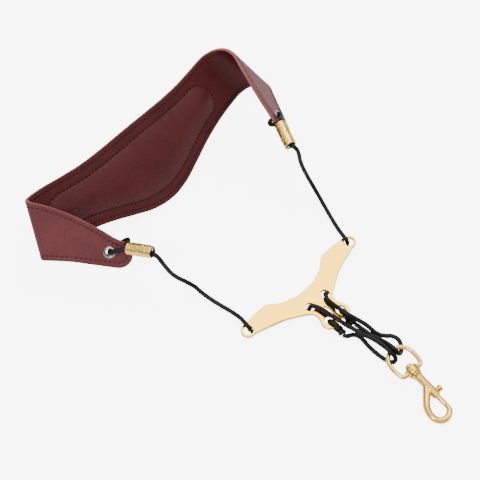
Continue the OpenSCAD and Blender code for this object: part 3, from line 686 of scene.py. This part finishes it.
LOOPS = {
    "left": [(-45.2, -53, 1.9), (-44.7, -54.4, 1.55), (-41.6, -55.5, 1.55), (-35.6, -57.8, 1.55),
             (-25.7, -61.4, 1.55), (-15.8, -66, 1.55), (-11.5, -68.1, 1.55), (-9.8, -68.8, 1.6),
             (-8.6, -69.2, 2.5), (-8.2, -69.4, 4.2), (-8.2, -69.6, 5.8), (-7.5, -70.3, 7.1),
             (-6, -72.6, 7.2), (-5, -76.8, 7.5), (-4.7, -81.6, 8.1), (-4.6, -86.6, 8.9), (-3.9, -91, 8.7),
             (-2.9, -95.2, 7.6), (-1.7, -99.2, 6.8), (-0.8, -103.5, 6.6), (0, -107.7, 6.8),
             (0.8, -111.8, 7.4), (1.3, -116.1, 8.1), (1.4, -120.9, 8.8), (1.3, -124.6, 9.3),
             (1.3, -127.3, 8.9), (1.7, -129.5, 7.7), (2, -131.4, 5.7), (1.6, -132.5, 3.7), (0.5, -132.3, 2),
             (-0.8, -130.6, 1.5), (-1.6, -128.1, 1.5), (-2, -125.4, 1.5), (-2.2, -122, 1.5),
             (-2.2, -118.5, 1.5), (-1.7, -113.1, 1.5), (-0.7, -107.2, 1.6), (-1.3, -103.4, 1.9),
             (-3.4, -101, 2.3), (-6, -99.8, 2.7), (-7.2, -98.3, 3), (-7.2, -97.3, 3.1)],
    "right": [(44.8, -54.9, 1.9), (43.6, -56.8, 1.55), (40.4, -57.7, 1.55), (34.4, -59.8, 1.55),
              (24.3, -62.8, 1.55), (14.1, -66.8, 1.55), (9.7, -68.7, 1.55), (7.9, -69.3, 1.6),
              (6.7, -69.7, 2.5), (6.3, -69.9, 4.2), (6.2, -70.2, 5.8), (5.1, -71.1, 7.1), (3.3, -73.3, 7.2),
              (2.6, -77.1, 7.7), (2.2, -82.2, 8.8), (2, -87.3, 9.9), (2.6, -91.7, 9.7), (4, -95.6, 8.5),
              (5.5, -99.5, 7), (6.8, -103.9, 5.6), (7.4, -107.8, 4.2), (7.9, -110.9, 2.9),
              (9.2, -113.8, 1.9), (11.4, -116.8, 1.5), (13.9, -119.6, 1.5), (14.8, -122.6, 1.5),
              (14.3, -125.6, 1.5), (12.7, -128, 1.5), (10.7, -130, 1.5), (8.4, -131.3, 2.2),
              (6.2, -131.5, 4.1), (5.1, -130.6, 6.4), (4.6, -128.5, 8.5), (4.6, -125.6, 8.9),
              (4.8, -121.7, 7.6), (4.9, -117.5, 5.8), (4.6, -113.3, 4.4), (4.35, -109, 3.5),
              (4.1, -104.3, 3.2), (3.8, -99.6, 3.2), (3.6, -97.7, 3.2)]}
HITCHES = {
    "left": [(-6.5, -92.7, 4.9), (-6.6, -91.3, 6.6), (-6.8, -89.2, 7.1), (-6.9, -87, 6.85),
             (-6.9, -85.4, 5.4), (-6.9, -84.9, 4.2), (-6.9, -85.5, 2.9), (-6.9, -87, 1.6),
             (-6.8, -89, 1.55), (-6.6, -91, 1.6), (-6.5, -92.7, 2.3)],
    "right": [(3.3, -93, 4.9), (3.6, -91.6, 6.6), (3.8, -89.5, 7.1), (4.1, -87.3, 6.85), (4.1, -85.7, 5.4),
              (4.1, -85.2, 4.2), (4.1, -85.8, 2.9), (4.1, -87.3, 1.6), (3.8, -89.3, 1.55), (3.6, -91.3, 1.6),
              (3.3, -93, 2.3)]}
STRANDS = 8


def braid(a, s):
    """Sixteen-strand braid: two families of strands that pass over and under each other."""
    pitch = 2 * np.pi * 1.5 / 1.15
    u = STRANDS * (a / (2 * np.pi) + s / (pitch * 1.6))
    v = STRANDS * (a / (2 * np.pi) - s / (pitch * 1.6))
    ru, rv = np.abs(np.cos(np.pi * u)), np.abs(np.cos(np.pi * v))
    over = 0.5 + 0.5 * np.sin(np.pi * (u + v)) * np.sin(np.pi * (u - v))
    h = over * ru ** 0.7 + (1 - over) * rv ** 0.7
    return 1.42 + 0.09 * h


def braided(name, points):
    path = smooth_path(points, 0.42)
    return sweep(name, path, braid, 32, CORD), path


cords = {}
for key in ("left", "right"):
    cords[f"{key}_upper"] = braided(f"{key}_upper_braid", loop(key) + [np.array(p) for p in RUNS[key]])
    cords[f"{key}_lower"] = braided(f"{key}_lower_braid", LOOPS[key])


def core(key):
    """The pale core that shows where the short strand is cut, flush with the sleeve's mouth."""
    mouth, way = MOUTHS[key]
    centre = mouth + (FERRULE - 0.25) * way + OFF * SIDES[key]
    prof = [(0.0, 0.42), (0.35, 0.40), (0.65, 0.32), (0.85, 0.16), (0.9, 0.0), (0.0, -0.1)]
    return lathe(f"{key}_cord_core", prof, centre, way, SIDES[key], CORE, around=32,
                 ripple=lambda a, h, r: 0.06 * r * np.cos(7 * a))


cores = {key: core(key) for key in MOUTHS}


def knot(name, centre, hitch):
    path = smooth_path(hitch, 0.42)
    tie = sweep(name, path, braid, 32, CORD)
    th = np.linspace(0, 2 * np.pi, 150, endpoint=False)
    x = 1.25 * (np.sin(th) + 2 * np.sin(2 * th)) / 1.35
    y = 1.25 * (np.cos(th) - 2 * np.cos(2 * th)) / 1.35
    z = -1.7 * np.sin(3 * th)
    p = np.array(centre) + np.stack([0.62 * z, 0.95 * x, 0.72 * y], -1)
    p = np.vstack([p, p[:1]])
    ball = sweep(name + "_wrap", resample(p, 0.42), lambda a, s: braid(a, s) * 0.94, 32, CORD, caps=False)
    return tie, ball


knots = {"left": knot("left_hitch", (-6.4, -93.9, 3.0), HITCHES["left"]),
         "right": knot("right_hitch", (3.2, -94.1, 3.0), HITCHES["right"])}

# ---------------------------------------------------------------- yoke plate
PLATE_AT = np.array([-0.5, -54.0])
PLATE_TURN = math.radians(-1.6)
PLATE_LOW, PLATE_T = 3.2, 2.0
NECK = [(0, -4.4), (4.8, -4.1), (8.6, -3.6), (12, -2.4), (15.6, -1.1), (18.5, 0.2), (21, 2), (25.3, 5.3)]
SHOULDER = [(25.3, 5.3), (27.8, 5.75), (30.5, 5.9), (35, 5.8), (42.5, 5.5), (45.4, 5.25)]
UNDER = [(46.2, -4.45), (45.2, -4.5), (42, -5.3), (38.6, -6.3), (34.7, -7.35), (31.4, -8.3), (28.2, -9.35),
         (25, -10.8), (22.5, -12.2), (19, -14), (16, -15.8), (14.1, -16.9), (10.9, -19.1), (9.1, -21.4),
         (8.7, -24.5), (9.7, -27.4)]
EAR, EAR_HOLE, EAR_R = (5.6, -31.3), (5.5, -30.6), 5.5
ARM, MIDDLE = (46.8, 0.4), (6.87, -15.7)


def arc_pts(c, r, a0, a1, n):
    th = np.radians(np.linspace(a0, a1, n))
    return [(c[0] + r * math.cos(x), c[1] + r * math.sin(x)) for x in th]


def plate_outline():
    right = smooth_path([(x, y, 0) for x, y in NECK], 0.7)[:-1, :2].tolist()
    right += smooth_path([(x, y, 0) for x, y in SHOULDER], 0.7)[:, :2].tolist()
    right += arc_pts(ARM, 4.9, 98, -92, 30)
    right += smooth_path([(x, y, 0) for x, y in UNDER], 0.7)[1:, :2].tolist()
    right += arc_pts(EAR, EAR_R, 40, -152, 34)
    right += [(0.5, -33.5), (0.5, -31.0), (0.7, -28.0), (1.2, -25.0), (1.0, -23.4), (0.5, -22.2), (0, -21.6)]
    left = [(-x, y) for x, y in right[::-1]]
    pts = right + left[1:-1]
    return np.array(pts)


def plate():
    curve = bpy.data.curves.new("yoke_curve", "CURVE")
    curve.dimensions = "2D"
    curve.fill_mode = "BOTH"
    rings = [plate_outline()]
    for sx in (-1, 1):
        for (x, y), r in ((ARM, 3.2), (MIDDLE, 2.9), (EAR_HOLE, 3.0)):
            rings.append(np.array(arc_pts((sx * x, y), r, 0, 360, 57)[:-1]))
    for ring in rings:
        spline = curve.splines.new("POLY")
        spline.points.add(len(ring) - 1)
        turn = np.array([[math.cos(PLATE_TURN), -math.sin(PLATE_TURN)],
                         [math.sin(PLATE_TURN), math.cos(PLATE_TURN)]])
        xy = ring @ turn.T + PLATE_AT + SHIFT[:2]
        spline.points.foreach_set("co",
                                  np.column_stack([xy * MM, np.zeros(len(xy)), np.ones(len(xy))]).ravel())
        spline.use_cyclic_u = True
    edge = 0.45
    curve.bevel_depth = edge * MM
    curve.bevel_resolution = 3
    curve.offset = -edge * MM
    curve.extrude = (PLATE_T / 2 - edge) * MM
    obj = bpy.data.objects.new("yoke_curve", curve)
    bpy.context.scene.collection.objects.link(obj)
    obj.location.z = (PLATE_LOW + PLATE_T / 2) * MM
    bpy.context.view_layer.update()
    mesh = bpy.data.meshes.new_from_object(obj.evaluated_get(bpy.context.evaluated_depsgraph_get()))
    mesh.transform(obj.matrix_world)
    bpy.data.objects.remove(obj)
    bm = bmesh.new()
    bm.from_mesh(mesh)
    bmesh.ops.remove_doubles(bm, verts=bm.verts, dist=1e-6)
    bmesh.ops.recalc_face_normals(bm, faces=bm.faces)
    bm.to_mesh(mesh)
    bm.free()
    mesh.materials.clear()
    mesh.materials.append(GOLD)
    mesh.polygons.foreach_set("use_smooth", [True] * len(mesh.polygons))
    out = bpy.data.objects.new("yoke", mesh)
    bpy.context.scene.collection.objects.link(out)
    weigh = out.modifiers.new("weigh", "WEIGHTED_NORMAL")
    weigh.keep_sharp = True
    weigh.weight = 100
    return out


yoke = plate()

# ---------------------------------------------------------------- hardware on the hook's own axis
PIVOT = np.array([4.5, -127.2, 5.55])
HOOK_TURN = Matrix.Rotation(math.radians(-5.5), 3, "Z") @ Matrix.Rotation(math.radians(3.7), 3, "X")
HOOK = np.array(HOOK_TURN)


def hooked(points):
    return PIVOT + np.asarray(points, float) @ HOOK.T


def turned(name, profile, mat, around=72, centre=(0, 0, 0), axis=(0, 1.0, 0)):
    """A turned solid: profile points are (radius, distance along the axis)."""
    return lathe(name, profile, hooked(centre), HOOK @ np.array(axis, float), HOOK @ np.array([0, 0, 1.0]),
                 mat, around)


def cast(name, parts, voxel, rounds, mat):
    """Several solids melted into one casting with soft joins."""
    bm = bmesh.new()
    for part in parts:
        bm.from_mesh(part.data)
        bpy.data.objects.remove(part)
    mesh = bpy.data.meshes.new(name + "_raw")
    bm.to_mesh(mesh)
    bm.free()
    raw = bpy.data.objects.new(name + "_raw", mesh)
    bpy.context.scene.collection.objects.link(raw)
    melt = raw.modifiers.new("melt", "REMESH")
    melt.mode = "VOXEL"
    melt.voxel_size = voxel * MM
    soften = raw.modifiers.new("soften", "SMOOTH")
    soften.factor = 0.5
    soften.iterations = rounds
    return bake(raw, name, mat)


def bake(raw, name, mat, smooth=True):
    bpy.context.view_layer.update()
    mesh = bpy.data.meshes.new_from_object(raw.evaluated_get(bpy.context.evaluated_depsgraph_get()))
    bpy.data.objects.remove(raw)
    mesh.materials.clear()
    mesh.materials.append(mat)
    mesh.polygons.foreach_set("use_smooth", [smooth] * len(mesh.polygons))
    out = bpy.data.objects.new(name, mesh)
    bpy.context.scene.collection.objects.link(out)
    return out


def bored(obj, cutters, name, mat):
    for i, cutter in enumerate(cutters):
        cutter.hide_render = True
        drill = obj.modifiers.new(f"drill_{i}", "BOOLEAN")
        drill.operation = "DIFFERENCE"
        drill.solver = "EXACT"
        drill.object = cutter
    out = bake(obj, name, mat)
    for cutter in cutters:
        bpy.data.objects.remove(cutter)
    out.data.set_sharp_from_angle(angle=math.radians(38))
    return out


RING = [(0, 0), (1.5, 0), (2.9, -0.45), (5.6, -2), (7.5, -4.2), (8.7, -7.4), (8.95, -10.9), (8.7, -13.9),
        (8.2, -16.4), (7.6, -17.6), (6.2, -18), (3, -18)]
WIRE = 1.5
BOSS = (-15.5, -20.5)
COLLAR = -20.75
ARM_LINE = [(-0.5, -30.9), (-4.5, -35), (-8.3, -38.6), (-11, -42.2), (-12.1, -46.3), (-11.6, -50.2),
            (-9.2, -53), (-5.8, -53.7), (-2.4, -52.6), (-0.4, -50.6), (0, -48.6)]
ARM_R = [2.4, 2.35, 2.25, 2.2, 2.16, 2.13, 2.1, 2.02, 1.87, 1.72, 1.58]


def eye():
    loop_path = [(-x, y, 0) for x, y in RING[::-1]] + [(x, y, 0) for x, y in RING[1:]]
    ring = sweep("ring", hooked(smooth_path(loop_path, 0.5)), lambda a,
                 s: WIRE * (1 + 0.035 * np.cos(2 * a)), 40, GOLD_CAST, first=(0, 0, 1))
    hi, lo = BOSS
    prof = [(0, hi), (3.8, hi), (4.3, hi - 0.25), (4.5, hi - 0.9), (4.5, lo + 0.6), (4.35, lo + 0.1),
            (4.1, lo), (0, lo)]
    boss = turned("boss", prof, GOLD_CAST)
    body = cast("eye_cast", [ring, boss], 0.24, 5, GOLD_CAST)
    bore = turned("bore", [(0, hi + 2), (post_r + 0.05, hi + 2), (post_r + 0.05, lo - 2), (0, lo - 2)],
                  GOLD_CAST, 48)
    return bored(body, [bore], "ring_casting", GOLD_CAST)


def snap():
    line = smooth_path([(x, y, 0) for x, y in ARM_LINE], 0.4)
    run = distances(line)
    knots_at = distances(np.array(ARM_LINE))
    knots_at = knots_at * run[-1] / knots_at[-1]

    def girth(a, s):
        seam = 0.16 * (np.exp(-((a - np.pi / 2) / 0.13) ** 2) + np.exp(-((a - 3 * np.pi / 2) / 0.13) ** 2))
        return np.interp(s, knots_at, ARM_R) + seam

    arm = sweep("arm", hooked(line), girth, 60, GOLD_CAST, first=tuple(HOOK @ np.array([0, 0, 1.0])))
    nose = turned("nose",
                  [(0, -47.5), (1.15, -47.52), (1.5, -47.75), (1.6, -48.5), (1.6, -48.9), (0, -49.1)],
                  GOLD_CAST, 40)
    prof = [(0, COLLAR), (3.55, COLLAR), (3.9, COLLAR - 0.15), (4.0, COLLAR - 0.45), (3.95, COLLAR - 0.85),
            (3.5, COLLAR - 1.3), (3.0, COLLAR - 2.2), (2.72, COLLAR - 3.3), (2.7, COLLAR - 6), (2.7, -39.2),
            (2.55, -39.7), (2.2, -39.9), (0, -39.9)]
    barrel = turned("barrel", prof, GOLD_CAST)
    body = cast("snap_cast", [arm, nose, barrel], 0.22, 4, GOLD_CAST)
    bore = turned("bore", [(0, -24.2), (1.7, -24.2), (1.7, -44), (0, -44)], GOLD_CAST, 48)
    y0, y1 = -37.2, -30.2
    ring = [(0.0, y1 + 1.1 * math.sin(t), 1.1 * math.cos(t)) for t in np.linspace(0, np.pi, 13)]
    ring += [(0.0, y0 - 1.1 * math.sin(t), -1.1 * math.cos(t)) for t in np.linspace(0, np.pi, 13)]
    ring = np.array(ring)
    n = len(ring)
    verts = np.vstack([ring, ring + np.array([6.0, 0, 0])])
    faces = [(i, (i + 1) % n, n + (i + 1) % n,
              n + i) for i in range(n)] + [tuple(range(n))[::-1], tuple(range(n, 2 * n))]
    slot = piece("slot", hooked(verts), faces, GOLD_CAST, weld=True)
    return bored(body, [bore, slot], "snap_casting", GOLD_CAST)


post_r = 1.55
eye_ring = eye()
snap_body = snap()
top = BOSS[0] + 0.2
post = turned("post", [(0, top + 2.15), (1.0, top + 2.08), (1.9, top + 1.8), (2.45, top + 1.3),
                       (2.6, top + 0.8), (2.55, top + 0.25), (2.3, top), (post_r, top), (post_r, -23.7),
                       (0, -23.7)], GOLD_CAST)
latch = turned("latch", [(0, -33.2), (1.55, -33.2), (1.65, -33.35), (1.65, -47.0), (1.55, -47.28),
                         (1.3, -47.4), (0, -47.4)],
               GOLD_CAST, 56)
stud = turned("stud", [(0, 0.2), (0.7, 0.2), (0.7, 1.5), (0.95, 1.6), (0.95, 3.1), (1.3, 3.35), (1.85, 3.4),
                       (1.9, 3.8), (1.5, 3.95), (1.45, 4.25), (2.05, 4.4), (2.2, 4.65), (2.2, 5.3),
                       (2.0, 5.65), (1.4, 6.05), (0.7, 6.22),
                       (0, 6.28)], GOLD_CAST, 64, centre=(0, -37.0, 0), axis=(1.0, 0, 0))
COIL_TURNS, COIL_R, COIL_WIRE_R = 5, 1.2, 0.22
COIL_FROM, COIL_LENGTH = -32.9, 8.3
coil_t = np.linspace(0, COIL_TURNS * 2 * np.pi, 260)
coil_y = COIL_FROM + COIL_LENGTH * coil_t / coil_t[-1]
coil = np.stack([COIL_R * np.cos(coil_t), coil_y, COIL_R * np.sin(coil_t)], -1)
spring = sweep("coil", hooked(coil), lambda a, s: COIL_WIRE_R + 0 * s, 12, SPRING)

# ---------------------------------------------------------------- bodies
for obj in (pad_outer, pad_lining, foam, seam_in, seam_out, quilt_in, quilt_out):
    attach(obj, "pad")
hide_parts("pad_outer_leather")
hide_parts("pad_lining")
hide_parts("pad_foam")
for obj, node in eyelet_parts:
    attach(obj, "pad")
    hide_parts(node)
for key in ("left", "right"):
    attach(sleeves[key], "pad")
    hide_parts(f"{key}_ferrule")
    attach(cores[key], "pad")
    for k in knots[key]:
        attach(k, "yoke")
    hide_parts(f"{key}_knot")
    for half, a, b, y0, y1 in (("upper", "pad", "yoke", {"left": 12.0, "right": 1.5}[key], -47.0),
                               ("lower", "yoke", "loops", -99.0, -124.0)):
        obj, path = cords[f"{key}_{half}"]
        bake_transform(obj)
        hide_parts(f"{key}_{half}_cord")
for obj, node, body, material in ((eye_ring, "swivel_eye", "eye", "hardware_gold"),
                                  (post, "swivel_post", "hook", "hardware_gold"),
                                  (snap_body, "hook_body", "hook", "hardware_gold"),
                                  (spring, "bolt_spring", "hook", "spring_steel"),
                                  (latch, "spring_bolt", "bolt", "hardware_gold"),
                                  (stud, "thumb_stud", "bolt", "hardware_gold")):
    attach(obj, body)
    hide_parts(node)
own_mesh(spring)
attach(yoke, "yoke")
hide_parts("yoke_plate")

# ---------------------------------------------------------------- studio
FLOOR_GLOW = 6.0
SKY_STRENGTH = 1.65
floor_mesh = bpy.data.meshes.new("floor")
floor_mesh.from_pydata([(-3, -3, 0), (3, -3, 0), (3, 3, 0), (-3, 3, 0)], [], [(0, 1, 2, 3)])
floor_mat, floor_tree, floor_bsdf = new_material("floor_white")
floor_bsdf.inputs["Base Color"].default_value = (0.93, 0.93, 0.93, 1)
floor_bsdf.inputs["Roughness"].default_value = 0.9
is_seen = floor_tree.nodes.new("ShaderNodeLightPath")
glow = add(floor_tree, "ShaderNodeMath", operation="MULTIPLY")
glow.inputs[1].default_value = FLOOR_GLOW
floor_tree.links.new(is_seen.outputs["Is Camera Ray"], glow.inputs[0])
floor_bsdf.inputs["Emission Color"].default_value = (1, 1, 1, 1)
floor_tree.links.new(glow.outputs[0], floor_bsdf.inputs["Emission Strength"])
floor_mesh.materials.append(floor_mat)
floor = bpy.data.objects.new("floor", floor_mesh)
bpy.context.scene.collection.objects.link(floor)
floor.location.z = -0.0002

world = bpy.data.worlds.new("studio")
bpy.context.scene.world = world
world.use_nodes = True
sky = world.node_tree
height = sky.nodes.new("ShaderNodeSeparateXYZ")
sky.links.new(sky.nodes.new("ShaderNodeTexCoord").outputs["Generated"], height.inputs["Vector"])
lift = add(sky, "ShaderNodeMath", operation="MULTIPLY_ADD")
lift.inputs[1].default_value = 0.5
lift.inputs[2].default_value = 0.5
sky.links.new(height.outputs["Z"], lift.inputs[0])
shade = ramp(sky, lift.outputs[0],
             [(0.0, grey(0.35)), (0.5, grey(0.10)), (0.68, grey(0.28)), (0.88, grey(0.85)), (1.0, grey(1.0))])
sky.links.new(shade.outputs["Color"], sky.nodes["Background"].inputs["Color"])
sky.nodes["Background"].inputs["Strength"].default_value = SKY_STRENGTH
TARGET = Vector(tuple(SHIFT * MM))


def lamp(name, place, size, power):
    light = bpy.data.lights.new(name, "AREA")
    light.shape = "DISK"
    light.size = size
    light.energy = power
    obj = bpy.data.objects.new(name, light)
    bpy.context.scene.collection.objects.link(obj)
    obj.location = TARGET + Vector(place)
    obj.rotation_euler = (-Vector(place)).to_track_quat("-Z", "Y").to_euler()
    return obj


lamp("softbox", (0.59, 0.56, 1.29), 1.3, 16)
lamp("key", (-0.9, -0.2, 1.3), 0.5, 11)
lamp("fill", (0.9, -0.8, 1.1), 0.6, 3)

AZIMUTH, ELEVATION, DISTANCE = math.radians(-46.3), math.radians(57.9), 0.83
camera = bpy.data.objects.new("camera", bpy.data.cameras.new("camera"))
camera.data.lens = 93.75
camera.data.sensor_width = 36
camera.data.clip_start = 0.01
bpy.context.scene.collection.objects.link(camera)
back = Vector((math.sin(AZIMUTH) * math.cos(ELEVATION),
               -math.cos(AZIMUTH) * math.cos(ELEVATION),
               math.sin(ELEVATION)))
camera.location = TARGET + back * DISTANCE
camera.rotation_euler = back.to_track_quat("Z", "Y").to_euler()
bpy.context.scene.camera = camera
